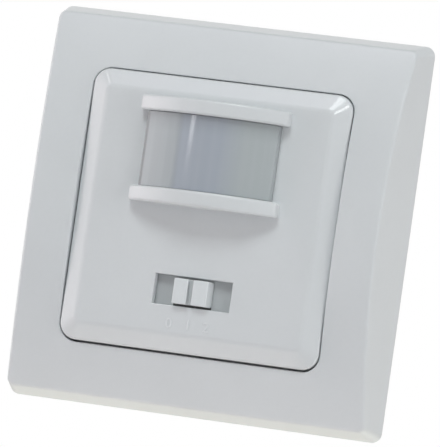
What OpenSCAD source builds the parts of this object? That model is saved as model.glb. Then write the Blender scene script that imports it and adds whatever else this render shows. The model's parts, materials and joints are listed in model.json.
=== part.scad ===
// Flush wall switch with a passive infrared motion sensor, in millimetres.
// X runs to the right, Y into the wall and Z up. The wall surface is Y = 0.

/* [Cover frame] */
// Width and height of the frame at the wall
frame_w = 80; // [77:0.5:88]
// Distance from the wall to the arched face at half height
frame_crown = 12.1; // [11:0.1:13.5]
// Distance from the wall to the arched face at its top and bottom edges
frame_ends = 6.7; // [6:0.1:8]
// Slope of the frame's four sides, in degrees
frame_slope = 14; // [10:0.5:17]
// Corner radius of the frame at the wall
frame_corner_r = 3; // [2.6:0.1:5]
// Thickness of the frame's skin
frame_wall = 2; // [1.6:0.1:2.4]
// Gap between the frame and the front cover
cover_gap = 0.4; // [0.2:0.05:0.6]

/* [Front cover] */
// Distance from the wall to the edge of the front cover
cover_depth = 10; // [9.25:0.25:12]
// Width and height of the front cover
cover_w = 55.2; // [54.4:0.2:57]
// Corner radius of the front cover
cover_corner_r = 3.5; // [2.6:0.1:4.5]
// Width of the bevel around the face
bevel_w = 3.5; // [2.8:0.1:3.8]
// Height of the bevel
bevel_rise = 1.5; // [1:0.1:2.2]
// Wall thickness of the front cover
cover_wall = 1.6; // [1.4:0.1:1.8]

/* [Sensor hood] */
// Width of the visor bars
hood_w = 31.4; // [29:0.2:33]
// How far the visor bars stand out of the face at the middle
hood_rise = 7; // [5.5:0.25:8.5]
// How far the visor bars stand out of the face at their ends
hood_end_rise = 2; // [1.4:0.1:2.6]
// Thickness of a visor bar
hood_bar = 3.1; // [2.4:0.1:3.4]
// Height of the lens window between the bars
window_h = 15.2; // [13:0.2:16]
// Height of the lens centre above the cover's centre
hood_z = 12.25; // [11:0.25:12.5]
// How far the lens lies behind the front of the bars
lens_setback = 1.2; // [0.8:0.1:1.8]
// Thickness of the lens film
lens_t = 0.8; // [0.6:0.05:1]

/* [Mode slider] */
// Width of the slider knob at its top
knob_w = 7; // [6:0.2:7.6]
// Height of the slider knob
knob_h = 5.1; // [4.4:0.1:5.4]
// How far the knob stands out of the face
knob_rise = 2; // [1.2:0.1:3]
// Travel of the slider to each side
slider_travel = 4; // [3:0.25:4.25]
// Height of the slot centre, below the cover's centre
slot_drop = 15.3; // [14.6:0.1:15.8]

/* [Electronics] */
// Thickness of both circuit boards
board_t = 1.6; // [1.2:0.1:1.8]
// Diameter of the infrared sensor's can
pir_d = 8.2; // [7.8:0.1:8.6]
// Height of the infrared sensor's can
pir_h = 4.2; // [3.8:0.1:4.4]
// Side of a setting trimmer
trimmer_w = 6.8; // [6:0.1:7.4]
// Width of the relay
relay_w = 18.4; // [17:0.2:19.6]
// Height of the relay on its board
relay_h = 15.3; // [13:0.1:17]

/* [Support plate] */
// How far the steel plate's edge lies inside the frame's edge
plate_inset = 4.5; // [4:0.1:6]
// Thickness of the steel plate
plate_t = 1; // [0.8:0.1:1.2]
// Distance between the screws of a flush box
box_pitch = 60; // [59:0.25:61]
// Width of a slot for a box screw
box_slot_w = 3.6; // [3.4:0.1:4]
// End to end length of a slot for a box screw
box_slot_l = 5.2; // [4.6:0.1:5.6]

/* [Rear housing] */
// Width of the housing at the plate
housing_w = 37; // [36.6:0.1:37.6]
// Height of the housing
housing_h = 41; // [40.6:0.2:42]
// Depth of the housing behind the plate
housing_depth = 26; // [24:0.5:30]
// Wall thickness of the housing
housing_wall = 1.6; // [1.4:0.05:1.8]

/* [Terminals] */
// Distance between two terminals
terminal_pitch = 6.5; // [6.3:0.05:6.6]
// Rise of a terminal clamp when its screw is tightened
clamp_rise = 2.4; // [1.6:0.1:2.6]

/* [Spreader claws] */
// Lean of the claw screws towards the rear
claw_angle = 15; // [14:0.25:15.5]
// Travel of a claw along its screw
claw_travel = 9; // [7:0.25:9.5]
// Reach of the claw teeth out of the screw axis
claw_reach = 8.2; // [7:0.1:8.6]
// Diameter of a claw screw
claw_screw_d = 3.4; // [3:0.1:3.6]

/* [Hidden] */
$fn = 64;
hull_fn = 32;
skin = 0.01;
over = 1;
fit_gap = 0.1;
run_gap = 0.06;
part_gap = 0.2;

// Levels along Y, from the wall to the front
y_plate = -plate_t;
base_t = 1.6;
y_base = y_plate - base_t;
y_board = y_base - board_t;
y_ledge = -4;
y_edge = -cover_depth;
y_face = y_edge - bevel_rise;
y_inside = y_face + cover_wall;
edge_inside = y_edge + cover_wall;

// Frame
frame_run = tan(frame_slope);
frame_front_w = frame_w - 2 * frame_crown * frame_run;
front_r_loss = 1;
arch_half = frame_w / 2 - frame_ends * frame_run;
arch_sag = frame_crown - frame_ends;
arch_r = (pow(arch_half, 2) + pow(arch_sag, 2)) / (2 * arch_sag);
arch_cy = arch_r - frame_crown;
arch_fn = 240;
frame_front_r = frame_corner_r - front_r_loss;
edge_soft = 0.5;
opening_w = cover_w + 2 * cover_gap;
opening_r = cover_corner_r + cover_gap;
collar_wall = 1.5;
collar_w = opening_w + 2 * collar_wall;
collar_r = opening_r + collar_wall;
ledge_w = 1.6;
ledge_t = 1.4;
notch_w = 12;
notch_web = 0.5;
rib_t = 1.2;
rib_x = 16;

// Front cover
cover_in_w = cover_w - 2 * cover_wall;
cover_in_r = cover_corner_r - cover_wall;
face_w = cover_w - 2 * bevel_w;
face_r = 1.2;
bar_z = window_h / 2;
hood_sag = hood_rise - hood_end_rise;
hood_r = (pow(hood_w / 2, 2) + pow(hood_sag, 2)) / (2 * hood_sag);
hood_cy = y_face - hood_rise + hood_r;
bar_r = 0.6;
bar_over = 1.7;
window_w = hood_w - 2 * bar_over;
hook_t = 1.1;
hook_w = 7;
hook_x = 12;
hook_nose = 0.6;
hook_y = -1.35;
hook_nose_t = 0.9;
hook_root = 2;
post_d = 1.6;
rail_t = 1;
rail_h = 1.6;

// Lens
lens_w = window_w - 2 * fit_gap;
lens_r = hood_r - lens_setback;
lens_h = window_h - 2 * fit_gap;
flange_t = 0.8;
flange_w = 2.2;
y_flange = y_inside + run_gap;
lens_end = lens_w / 2 - lens_t;
leg_top = hood_cy - sqrt(pow(lens_r - lens_t, 2) - pow(lens_end, 2));
retainer_t = 1.2;
y_retainer = y_flange + flange_t + run_gap;
retainer_side = 2.5;
retainer_post_in = 1.45;
retainer_w = window_w + 2 * flange_w + 2 * retainer_side;
retainer_h = window_h + 2 * retainer_side;
retainer_x = retainer_w / 2 - retainer_post_in;
retainer_z = retainer_h / 2 - retainer_post_in;
lens_bands = 7;
lens_groove_w = 0.4;
lens_groove_d = 0.3;
lens_half_angle = asin(lens_w / 2 / lens_r);

// Slider
knob_draft = 0.4;
knob_base_w = knob_w + 2 * knob_draft;
slot_clear = 0.3;
slot_w = knob_base_w + 2 * slider_travel + 2 * slot_clear;
slot_edge = 0.45;
slot_h = knob_h + 2 * slot_edge;
slot_z = -slot_drop;
shutter_t = 0.9;
shutter_gap = 0.15;
shutter_lap = 1;
y_shutter = y_inside + shutter_gap;
shutter_back = y_shutter + shutter_t;
shutter_w = slot_w + 2 * slider_travel + shutter_lap;
shutter_h = slot_h + 2 * shutter_lap;
y_knob = y_face - knob_rise;
groove_w = 1;
groove_d = 0.8;
knob_r = 0.5;
stem_w = 2.5;
stem_cap = 1.7;
y_stem = y_knob + stem_cap;

// Slide switch
can_t = 0.4;
can_h = 3.4;
y_can = y_board - can_h;
carriage_l = 6.4;
carriage_w = 5;
switch_end = 2;
switch_l = carriage_l + 2 * slider_travel + 2 * switch_end;
switch_w = 7;
switch_base_t = 1;
switch_pins = 4;
switch_pin_pitch = 3.6;
pin_w = 0.7;

// Chassis and sensor board
chassis_side = 0.5;
chassis_w = housing_w + 2 * chassis_side;
chassis_h = cover_in_w - 2 * hook_t - 2 * fit_gap;
chassis_wall = 1.4;
chassis_lip = 2.4;
sensor_board_w = chassis_w - 2 * chassis_wall - 2 * part_gap;
sensor_board_h = chassis_h - 2 * chassis_wall - 2 * part_gap;
plate_lap_x = 6;
plate_lap_z = 15;
plate_hole_w = housing_w - plate_lap_x;
plate_hole_h = housing_h - plate_lap_z;
plate_hole_r = 2;
base_land = 6;
base_hole_w = plate_hole_w - 2 * base_land;
base_hole_top = 16;
base_hole_bottom = -12.5;
boss_d = 5;
boss_h = 4.4;
boss_sink = 0.8;
boss_floor = 0.4;
slope = tan(claw_angle);
wall_x = housing_wall / cos(claw_angle);
screw_x = housing_w / 2 - wall_x - slope * boss_h - boss_d / 2 + boss_sink;
screw_z = housing_h / 2 - housing_wall - boss_d / 2 + boss_sink;
screw_d = 2.6;
screw_head_d = 4.8;
screw_head_h = 1.8;
screw_tail = boss_h - boss_floor - fit_gap;
screw_slot_w = 0.8;
screw_slot_d = 0.8;
post_in = 2.75;
post_x = plate_hole_w / 2 - post_in;
post_z = plate_hole_h / 2 - post_in;
chassis_post_d = 3.6;

// Parts on the sensor board
pir_flange_w = 0.5;
pir_flange_d = pir_d + 2 * pir_flange_w;
pir_flange_t = 0.6;
pir_spacer_t = 1.3;
pir_skin = 0.4;
pir_window_w = 4;
pir_window_h = 3.2;
lead_d = 0.5;
lead_circle = 2.54;
y_pir_seat = y_board - pir_spacer_t;
y_pir = y_pir_seat - pir_h;
ldr_d = 5;
ldr_t = 2;
ldr_x = 9.4;
ldr_lead = 1.7;
ldr_stand = 2.4;
chip_w = 9.9;
chip_h = 3.9;
chip_t = 1.5;
chip_z = -1.8;
chip_leg_w = 0.4;
chip_leg_l = 1;
chip_leg_t = 0.5;
chip_legs = 8;
chip_pitch = 1.27;
passive = [2, 0.6, 1.25];
passive_x = 7.4;
passive_z = 2.4;
passive_step = 2.4;
passive_rows = 3;
trimmer_in = 1.6;
trimmer_x = sensor_board_w / 2 - trimmer_w / 2 - trimmer_in;
trimmer_z = -3.4;
trimmer_h = 3;
rotor_d = 5;
rotor_rise = 0.6;
rotor_seat = 1.6;
rotor_slot = 0.8;

// Support plate
plate_w = frame_w - 2 * plate_inset;
plate_r = 8;

// Rear housing
housing_chamfer = 2;
step_y = 17.6;
block_d = 9.7;
block_bottom = -housing_h / 2 + housing_wall + part_gap;
block_top = block_bottom + block_d;
step_room = 0.6;
step_z = block_top + step_room;
boss_room = boss_d / 2 + part_gap;
y_power = 3;
y_parts = y_power + board_t;
power_board_w = housing_w - 2 * (wall_x + slope * y_parts + part_gap);
power_board_h = housing_h - 2 * housing_wall - 2 * part_gap;
shelf_lap = 0.9;
shelf_root = 2;
shelf_x = power_board_w / 2 - shelf_lap;
shelf_z = 6;
shelf_t = 2.4;

// Parts on the power board
stack_gap = 0.5;
relay_d = 10.2;
relay_z = step_z + housing_wall + stack_gap + relay_d / 2;
relay_foot = 0.4;
relay_foot_in = 1.5;
relay_foot_d = 2;
varistor_d = 7;
varistor_t = 2.8;
varistor_x = -4.6;
varistor_z = relay_z + relay_d / 2 + stack_gap + varistor_t / 2;
varistor_stand = 0.6;
varistor_lead = 2.5;
film_w = 13;
film_d = 6;
film_h = 11;
film_x = -3.6;
film_z = varistor_z + varistor_t / 2 + stack_gap + film_d / 2;
electro_d = 7;
electro_h = 11.5;
electro_x = 7;
electro_z = film_z;
crimp = 0.5;
crimp_up = 1.4;
vent_l = 4.9;
bridge = [4.7, 2.4, 4];
bridge_z = 2.5;

// Terminals
clamp_w = 5;
clamp_l = 5;
clamp_t = 0.8;
clamp_h = 6.2;
clamp_floor = 0.9;
clamp_in = 4.3;
clamp_z = block_bottom + clamp_in;
clamp_room = 0.3;
y_clamp = y_parts + clamp_floor;
bar_w = 3;
bar_t = 1;
wire_room = 3.3;
y_bar = y_clamp + clamp_t + wire_room;
bar_front_in = 0.7;
bar_back_in = 0.6;
bar_front_z = block_bottom + bar_front_in;
bar_back_z = block_top - bar_back_in;
tail_t = 0.8;
tail_stub = 0.8;
y_tail = y_power - tail_stub;
shoulder_t = 0.8;
y_shoulder = y_clamp + clamp_h + clamp_rise + clamp_room;
terminal_screw_d = 2.9;
terminal_head_d = 4.3;
terminal_head_h = 1.8;
y_head = y_shoulder + shoulder_t + fit_gap;
block_side = 0.95;
block_w = 2 * terminal_pitch + clamp_w + 2 * fit_gap + 2 * block_side;
entry_w = 3.6;

// Board header
pin_count = 6;
pin_pitch = 2.54;
pin_stub = 1;
header_pin = 0.64;
header_w = 2.5;
header_t = 2.4;
header_z = bar_back_z + part_gap + header_w / 2;

// Spreader claws
claw_off = 3.9;
claw_x = housing_w / 2 + claw_off / cos(claw_angle);
claw_t = 1.4;
claw_arm_l = 9.6;
claw_front = 0.8;
claw_s = claw_arm_l + claw_travel + claw_front;
claw_half_z = 9;
claw_notch_z = 3.4;
claw_flange_z = 5.6;
claw_arm_v = 2.4;
claw_root = 3;
claw_inner = claw_off - part_gap;
claw_tooth = 1.4;
claw_head_d = 5.6;
claw_head_h = 1.8;
claw_head_s = (y_plate - run_gap - claw_head_d / 2 * sin(claw_angle)) / cos(claw_angle);
claw_screw_end = 2;
claw_screw_s = claw_s + claw_t + claw_screw_end;
claw_hole_room = 0.5;
claw_hole_d = claw_screw_d + 2 * claw_hole_room;
guide_t = 1.3;
guide_h = 1.6;
guide_s = 1.6;

// Helpers

// Flat shape drawn in X and Z, thick from y0 to y1.
module slab(y0, y1) {
  translate([0, y1, 0]) rotate([90, 0, 0]) linear_extrude(y1 - y0) children();
}

module rounded(w, h, r) {
  square([w - 2 * r, h], center = true);
  square([w, h - 2 * r], center = true);
  for (x = [-1, 1], z = [-1, 1]) {
    translate([x * (w / 2 - r), z * (h / 2 - r)]) circle(r);
  }
}

// Straight-sided skin between two rounded squares at two levels.
module taper(w0, r0, y0, w1, r1, y1) {
  hull() {
    slab(y0, y0 + skin) rounded(w0, w0, r0, $fn = hull_fn);
    slab(y1 - skin, y1) rounded(w1, w1, r1, $fn = hull_fn);
  }
}

module box(x0, x1, y0, y1, z0, z1) {
  translate([x0, y0, z0]) cube([x1 - x0, y1 - y0, z1 - z0]);
}

module rod(x, z, d, y0, y1) {
  translate([x, y1, z]) rotate([90, 0, 0]) cylinder(h = y1 - y0, d = d);
}

module at_screws() {
  for (x = [-1, 1], z = [-1, 1]) translate([x * screw_x, 0, z * screw_z]) children();
}

module four_sides() {
  for (a = [0 : 90 : 270]) rotate([0, a, 0]) children();
}

// Right claw's own frame: X out of the housing, Y along the screw to the rear.
module claw_frame(side) {
  mirror([side < 0 ? 1 : 0, 0, 0]) translate([claw_x, 0, 0]) rotate([0, 0, claw_angle]) children();
}

// Cover frame

// Block with four sloping sides, set in on all of them.
module frame_block(in) {
  taper(frame_front_w - 2 * in, frame_front_r, -frame_crown,
        frame_w - 2 * in, frame_corner_r - in / 2, in > edge_soft ? over : 0);
}

// Everything behind the arched face, which lies across the frame.
module frame_arch(in) {
  translate([0, arch_cy, 0]) rotate([0, 90, 0]) {
    cylinder(r = arch_r - in, h = 2 * frame_w, center = true, $fn = arch_fn);
  }
}

module frame_skin() {
  difference() {
    hull() {
      intersection() {
        frame_block(edge_soft);
        frame_arch(0);
      }
      intersection() {
        frame_block(0);
        frame_arch(edge_soft);
      }
    }
    intersection() {
      frame_block(frame_wall);
      frame_arch(frame_wall);
    }
    slab(-frame_crown - over, over) rounded(opening_w, opening_w, opening_r);
  }
}

module frame_collar() {
  difference() {
    intersection() {
      slab(-frame_crown, y_plate) rounded(collar_w, collar_w, collar_r);
      frame_arch(frame_wall / 2);
    }
    slab(-frame_crown - over, over) rounded(opening_w, opening_w, opening_r);
    frame_notches();
  }
  difference() {
    slab(y_ledge, y_ledge + ledge_t) rounded(opening_w + skin, opening_w + skin, opening_r);
    slab(y_ledge - over, over) {
      rounded(opening_w - 2 * ledge_w, opening_w - 2 * ledge_w, opening_r - ledge_w);
    }
    frame_notches();
  }
}

// Room for the heads of the box screws, closed in front by a thin web.
module frame_notches() {
  four_sides() box(opening_w / 2 - ledge_w - over, collar_w / 2 + over,
                   y_ledge + notch_web, over, -notch_w / 2, notch_w / 2);
}

module frame_ribs() {
  intersection() {
    four_sides() for (z = [-1, 1]) translate([0, 0, z * rib_x]) {
      box(collar_w / 2 - collar_wall / 2, frame_w / 2, -frame_crown, y_plate - part_gap,
          -rib_t / 2, rib_t / 2);
    }
    frame_block(frame_wall / 2);
    frame_arch(frame_wall / 2);
  }
}

module cover_frame() {
  color([0.87, 0.88, 0.88]) union() {
    frame_skin();
    frame_collar();
    frame_ribs();
  }
}

// Front cover

module hood_profile() {
  intersection() {
    translate([0, hood_cy]) circle(hood_r);
    translate([-hood_w / 2, y_face - hood_rise - over]) {
      square([hood_w, hood_rise + over + cover_wall / 2]);
    }
  }
}

module visor_bars() {
  for (z = [-1, 1]) translate([0, 0, hood_z + z * (bar_z + hood_bar / 2)]) intersection() {
    translate([0, 0, -hood_bar / 2]) linear_extrude(hood_bar) hood_profile();
    slab(y_face - hood_rise - over, y_inside) rounded(hood_w, hood_bar, bar_r);
  }
}

module cover_shell() {
  difference() {
    union() {
      taper(face_w, face_r, y_face, cover_w, cover_corner_r, y_edge);
      slab(y_edge, y_ledge) rounded(cover_w, cover_w, cover_corner_r);
    }
    taper(face_w - cover_wall, face_r, y_inside, cover_in_w, cover_in_r, edge_inside);
    slab(edge_inside - skin, y_ledge + over) rounded(cover_in_w, cover_in_w, cover_in_r);
  }
}

module cover_hooks() {
  tongue = cover_in_w / 2 - hook_t;
  for (s = [-1, 1], x = [-1, 1]) {
    mirror([0, 0, s < 0 ? 1 : 0]) translate([x * hook_x, 0, 0]) {
      box(-hook_w / 2, hook_w / 2, y_ledge - hook_root, hook_y, tongue, cover_in_w / 2);
      box(-hook_w / 2, hook_w / 2, y_ledge - hook_root, y_ledge, tongue, cover_in_w / 2 + cover_wall / 2);
      box(-hook_w / 2, hook_w / 2, hook_y - hook_nose_t, hook_y,
          tongue - hook_nose, tongue + hook_t / 2);
    }
  }
}

module slider_rails() {
  run_x = shutter_w / 2 + slider_travel + part_gap;
  run_z = shutter_h / 2 + part_gap;
  translate([0, 0, slot_z]) difference() {
    box(-run_x - rail_t, run_x + rail_t, y_inside - skin, y_inside + rail_h,
        -run_z - rail_t, run_z + rail_t);
    box(-run_x, run_x, y_inside - over, y_inside + rail_h + over, -run_z, run_z);
  }
}

module front_cover() {
  color([0.87, 0.88, 0.88]) {
    difference() {
      union() {
        cover_shell();
        visor_bars();
        slider_rails();
      }
      box(-window_w / 2, window_w / 2, y_face - over, y_inside + over,
          hood_z - bar_z, hood_z + bar_z);
      box(-slot_w / 2, slot_w / 2, y_face - over, y_inside + skin,
          slot_z - slot_h / 2, slot_z + slot_h / 2);
    }
    cover_hooks();
    for (x = [-1, 1], z = [-1, 1]) {
      rod(x * retainer_x, hood_z + z * retainer_z, post_d, y_inside - skin, y_retainer + retainer_t);
    }
  }
}

// Lens and its retainer

module lens_profile() {
  intersection() {
    difference() {
      translate([0, hood_cy]) circle(lens_r);
      translate([0, hood_cy]) circle(lens_r - lens_t);
    }
    translate([-lens_w / 2, y_face - hood_rise]) square([lens_w, hood_rise + y_inside - y_face]);
  }
  for (x = [-1, 1]) {
    translate([x * (lens_end + lens_t / 2) - lens_t / 2, leg_top - lens_t / 4]) {
      square([lens_t, y_flange + flange_t - leg_top + lens_t / 4]);
    }
    translate([x * (lens_end + flange_w / 2 + lens_t / 2) - flange_w / 2 - lens_t / 2, y_flange]) {
      square([flange_w + lens_t, flange_t]);
    }
  }
}

// Grooves inside the lens that part its Fresnel bands.
module lens_grooves() {
  inner = lens_r - lens_t;
  step = 2 * lens_half_angle / lens_bands;
  for (i = [1 : lens_bands - 1]) translate([0, hood_cy, hood_z]) {
    rotate([0, 0, i * step - lens_half_angle]) {
      box(-lens_groove_w / 2, lens_groove_w / 2, -inner - lens_groove_d, -inner + over, -window_h, window_h);
    }
  }
}

module fresnel_lens() {
  color([0.8, 0.82, 0.83, 0.7]) difference() {
    translate([0, 0, hood_z - lens_h / 2]) linear_extrude(lens_h) lens_profile();
    lens_grooves();
  }
}

module lens_retainer() {
  color([0.3, 0.31, 0.32]) difference() {
    translate([0, 0, hood_z]) slab(y_retainer, y_retainer + retainer_t) {
      rounded(retainer_w, retainer_h, post_d);
    }
    box(-lens_end, lens_end, y_retainer - over, y_retainer + retainer_t + over,
        hood_z - bar_z, hood_z + bar_z);
    for (x = [-1, 1], z = [-1, 1]) {
      rod(x * retainer_x, hood_z + z * retainer_z, post_d + 2 * fit_gap,
          y_retainer - over, y_retainer + retainer_t + over);
    }
  }
}

// Mode slider and its switch

module knob_profile() {
  base = knob_base_w / 2;
  top = knob_w / 2;
  polygon([
    [-base, y_shutter + shutter_t / 2], [-base, y_shutter], [-top, y_knob],
    [-groove_w / 2, y_knob], [-groove_w / 4, y_knob + groove_d],
    [groove_w / 4, y_knob + groove_d], [groove_w / 2, y_knob],
    [top, y_knob], [base, y_shutter], [base, y_shutter + shutter_t / 2]
  ]);
}

module mode_slider() {
  pocket = stem_w / 2 + fit_gap;
  color([0.87, 0.88, 0.88]) translate([0, 0, slot_z]) difference() {
    union() {
      intersection() {
        translate([0, 0, -knob_h / 2]) linear_extrude(knob_h) knob_profile();
        slab(y_knob - over, shutter_back) rounded(knob_base_w, knob_h, knob_r);
      }
      box(-shutter_w / 2, shutter_w / 2, y_shutter, shutter_back, -shutter_h / 2, shutter_h / 2);
    }
    box(-pocket, pocket, y_stem - fit_gap, shutter_back + over, -pocket, pocket);
  }
}

module switch_actuator() {
  y_carriage = y_board - switch_base_t - fit_gap;
  color([0.08, 0.08, 0.09]) translate([0, 0, slot_z]) {
    box(-stem_w / 2, stem_w / 2, y_stem, y_carriage, -stem_w / 2, stem_w / 2);
    box(-carriage_l / 2, carriage_l / 2, y_can + can_t + fit_gap, y_carriage,
        -carriage_w / 2, carriage_w / 2);
  }
}

module switch_can() {
  slot_x = stem_w / 2 + slider_travel + part_gap;
  color([0.75, 0.76, 0.78]) translate([0, 0, slot_z]) difference() {
    box(-switch_l / 2, switch_l / 2, y_can, y_board, -switch_w / 2, switch_w / 2);
    box(-switch_l / 2 + can_t, switch_l / 2 - can_t, y_can + can_t, y_board + over,
        -switch_w / 2 + can_t, switch_w / 2 - can_t);
    box(-slot_x, slot_x, y_can - over, y_can + can_t + over,
        -stem_w / 2 - part_gap, stem_w / 2 + part_gap);
  }
}

module switch_pin_row(grow, y0, y1) {
  for (i = [0 : switch_pins - 1]) {
    x = (i - (switch_pins - 1) / 2) * switch_pin_pitch;
    rod(x, slot_z, pin_w + grow, y0, y1);
  }
}

module switch_base() {
  side = can_t + run_gap;
  color([0.2, 0.13, 0.09]) {
    translate([0, 0, slot_z]) {
      box(-switch_l / 2 + side, switch_l / 2 - side, y_board - switch_base_t, y_board,
          -switch_w / 2 + side, switch_w / 2 - side);
    }
    switch_pin_row(0, y_board - switch_base_t / 2, y_base - fit_gap);
  }
}

// Chassis and sensor board

module chassis() {
  in_w = chassis_w - 2 * chassis_wall;
  in_h = chassis_h - 2 * chassis_wall;
  pocket = cover_in_w / 2 - hook_t - hook_nose - fit_gap;
  color([0.82, 0.83, 0.83]) difference() {
    union() {
      slab(y_base, y_plate) rounded(chassis_w, chassis_h, chassis_wall);
      difference() {
        slab(y_base - chassis_lip, y_plate) rounded(chassis_w, chassis_h, chassis_wall);
        slab(y_base - chassis_lip - over, y_base) square([in_w, in_h], center = true);
      }
      for (x = [-1, 1], z = [-1, 1]) rod(x * post_x, z * post_z, chassis_post_d, y_base, y_power);
    }
    box(-base_hole_w / 2, base_hole_w / 2, y_base - over, y_plate + over,
        base_hole_bottom, base_hole_top);
    at_screws() rod(0, 0, screw_d + 2 * part_gap, y_base - over, y_plate + over);
    for (s = [-1, 1], x = [-1, 1]) {
      mirror([0, 0, s < 0 ? 1 : 0]) translate([x * hook_x, 0, 0]) {
        box(-hook_w / 2 - part_gap, hook_w / 2 + part_gap, hook_y - hook_nose_t - fit_gap,
            y_plate + over, pocket, chassis_h);
      }
    }
  }
}

module pir_leads(grow, y0, y1) {
  for (a = [90, 210, 330]) {
    rod(lead_circle * cos(a), hood_z + lead_circle * sin(a), lead_d + grow, y0, y1);
  }
}

module ldr_leads(grow, y0, y1) {
  for (z = [-1, 1]) rod(ldr_x, hood_z + z * ldr_lead, lead_d + grow, y0, y1);
}

module header_pin_row(grow, y0, y1) {
  w = header_pin / 2 + grow;
  for (i = [0 : pin_count - 1]) {
    x = (i - (pin_count - 1) / 2) * pin_pitch;
    box(x - w, x + w, y0, y1, header_z - w, header_z + w);
  }
}

module sensor_board() {
  color([0.12, 0.34, 0.2]) difference() {
    slab(y_board, y_base) square([sensor_board_w, sensor_board_h], center = true);
    at_screws() rod(0, 0, screw_d + 2 * part_gap, y_board - over, y_base + over);
    pir_leads(part_gap, y_board - over, y_base + over);
    ldr_leads(part_gap, y_board - over, y_base + over);
    switch_pin_row(part_gap, y_board - over, y_base + over);
    header_pin_row(fit_gap, y_board - over, y_base + over);
  }
}

module pir_can() {
  color([0.78, 0.76, 0.7]) {
    difference() {
      union() {
        rod(0, hood_z, pir_d, y_pir, y_pir_seat);
        rod(0, hood_z, pir_flange_d, y_pir_seat - pir_flange_t, y_pir_seat);
      }
      rod(0, hood_z, pir_d - 2 * pir_skin, y_pir + pir_skin, y_pir_seat - pir_flange_t);
      box(-pir_window_w / 2, pir_window_w / 2, y_pir - over, y_pir + pir_skin + over,
          hood_z - pir_window_h / 2, hood_z + pir_window_h / 2);
    }
    pir_leads(0, y_pir_seat - pir_flange_t / 2, y_base - fit_gap);
  }
}

module pir_window() {
  lip = 0.6;
  color([0.1, 0.1, 0.12]) {
    box(-pir_window_w / 2 - lip, pir_window_w / 2 + lip, y_pir + pir_skin,
        y_pir + 2 * pir_skin, hood_z - pir_window_h / 2 - lip, hood_z + pir_window_h / 2 + lip);
  }
}

module pir_spacer() {
  color([0.9, 0.9, 0.88]) difference() {
    rod(0, hood_z, pir_flange_d, y_pir_seat, y_board);
    pir_leads(part_gap, y_pir_seat - over, y_board + over);
  }
}

module light_sensor() {
  y_ldr = y_board - ldr_stand - ldr_t;
  color([0.75, 0.42, 0.2]) {
    rod(ldr_x, hood_z, ldr_d, y_ldr, y_ldr + ldr_t);
    ldr_leads(0, y_ldr + ldr_t / 2, y_base - fit_gap);
  }
}

module detector_chip() {
  color([0.07, 0.07, 0.08]) {
    box(-chip_w / 2, chip_w / 2, y_board - chip_t, y_board - fit_gap,
        chip_z - chip_h / 2, chip_z + chip_h / 2);
    for (i = [0 : chip_legs - 1], s = [-1, 1]) {
      x = (i - (chip_legs - 1) / 2) * chip_pitch;
      z = chip_z + s * (chip_h / 2 + chip_leg_l / 2);
      box(x - chip_leg_w / 2, x + chip_leg_w / 2, y_board - chip_leg_t, y_board,
          z - chip_leg_l / 2 - chip_leg_t, z + chip_leg_l / 2 + chip_leg_t);
    }
  }
}

module board_passives() {
  color([0.72, 0.64, 0.5]) {
    for (x = [-1, 1], i = [0 : passive_rows - 1]) {
      translate([x * passive_x, y_board - passive[1], passive_z + i * passive_step]) {
        translate([-passive[0] / 2, 0, -passive[2] / 2]) cube(passive);
      }
    }
  }
}

// Setting trimmers

module trimmer_body() {
  color([0.16, 0.3, 0.58]) difference() {
    box(-trimmer_w / 2, trimmer_w / 2, y_board - trimmer_h, y_board, -trimmer_w / 2, trimmer_w / 2);
    rod(0, 0, rotor_d + 2 * run_gap, y_board - trimmer_h - over, y_board - trimmer_h + rotor_seat);
  }
}

module trimmer_rotor() {
  y_front = y_board - trimmer_h - rotor_rise;
  color([0.9, 0.9, 0.86]) difference() {
    rod(0, 0, rotor_d, y_front, y_board - trimmer_h + rotor_seat - run_gap);
    box(-rotor_d, rotor_d, y_front - over, y_front + rotor_slot, -rotor_slot / 2, rotor_slot / 2);
    box(-rotor_slot / 2, rotor_slot / 2, y_front - over, y_front + rotor_slot, 0, rotor_d);
  }
}

module time_trimmer_body() {
  translate([-trimmer_x, 0, trimmer_z]) trimmer_body();
}

module time_trimmer_rotor() {
  translate([-trimmer_x, 0, trimmer_z]) trimmer_rotor();
}

module lux_trimmer_body() {
  translate([trimmer_x, 0, trimmer_z]) trimmer_body();
}

module lux_trimmer_rotor() {
  translate([trimmer_x, 0, trimmer_z]) trimmer_rotor();
}

// Board to board header

module header_strip() {
  half = pin_count * pin_pitch / 2;
  color([0.08, 0.08, 0.09]) difference() {
    box(-half, half, y_power - header_t, y_power, header_z - header_w / 2, header_z + header_w / 2);
    header_pin_row(run_gap, -cover_depth, cover_depth);
  }
}

module header_pins() {
  color([0.8, 0.68, 0.35]) header_pin_row(0, y_board - pin_stub, y_parts + pin_stub);
}

// Support plate and screws

module plate_slot() {
  half = box_slot_l / 2 - box_slot_w / 2;
  square([2 * half, box_slot_w], center = true);
  for (x = [-1, 1]) translate([x * half, 0]) circle(d = box_slot_w);
}

module plate_outline() {
  difference() {
    rounded(plate_w, plate_w, plate_r);
    rounded(plate_hole_w, plate_hole_h, plate_hole_r);
    for (a = [0 : 90 : 270]) rotate(a) translate([box_pitch / 2, 0]) plate_slot();
    for (x = [-1, 1], z = [-1, 1]) {
      translate([x * screw_x, z * screw_z]) circle(d = screw_d + 2 * part_gap);
    }
  }
}

module support_plate() {
  color([0.72, 0.73, 0.74]) difference() {
    slab(y_plate, 0) plate_outline();
    for (s = [-1, 1]) {
      claw_frame(s) rod(0, 0, claw_hole_d, -2 * plate_t - over, plate_t + over);
    }
  }
}

module assembly_screws() {
  y_top = y_board - screw_head_h;
  color([0.7, 0.71, 0.73]) at_screws() difference() {
    union() {
      rod(0, 0, screw_head_d, y_top, y_board);
      rod(0, 0, screw_d, y_board - skin, screw_tail);
    }
    box(-screw_head_d, screw_head_d, y_top - over, y_top + screw_slot_d,
        -screw_slot_w / 2, screw_slot_w / 2);
    box(-screw_slot_w / 2, screw_slot_w / 2, y_top - over, y_top + screw_slot_d,
        -screw_head_d, screw_head_d);
  }
}

// Rear housing

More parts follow.
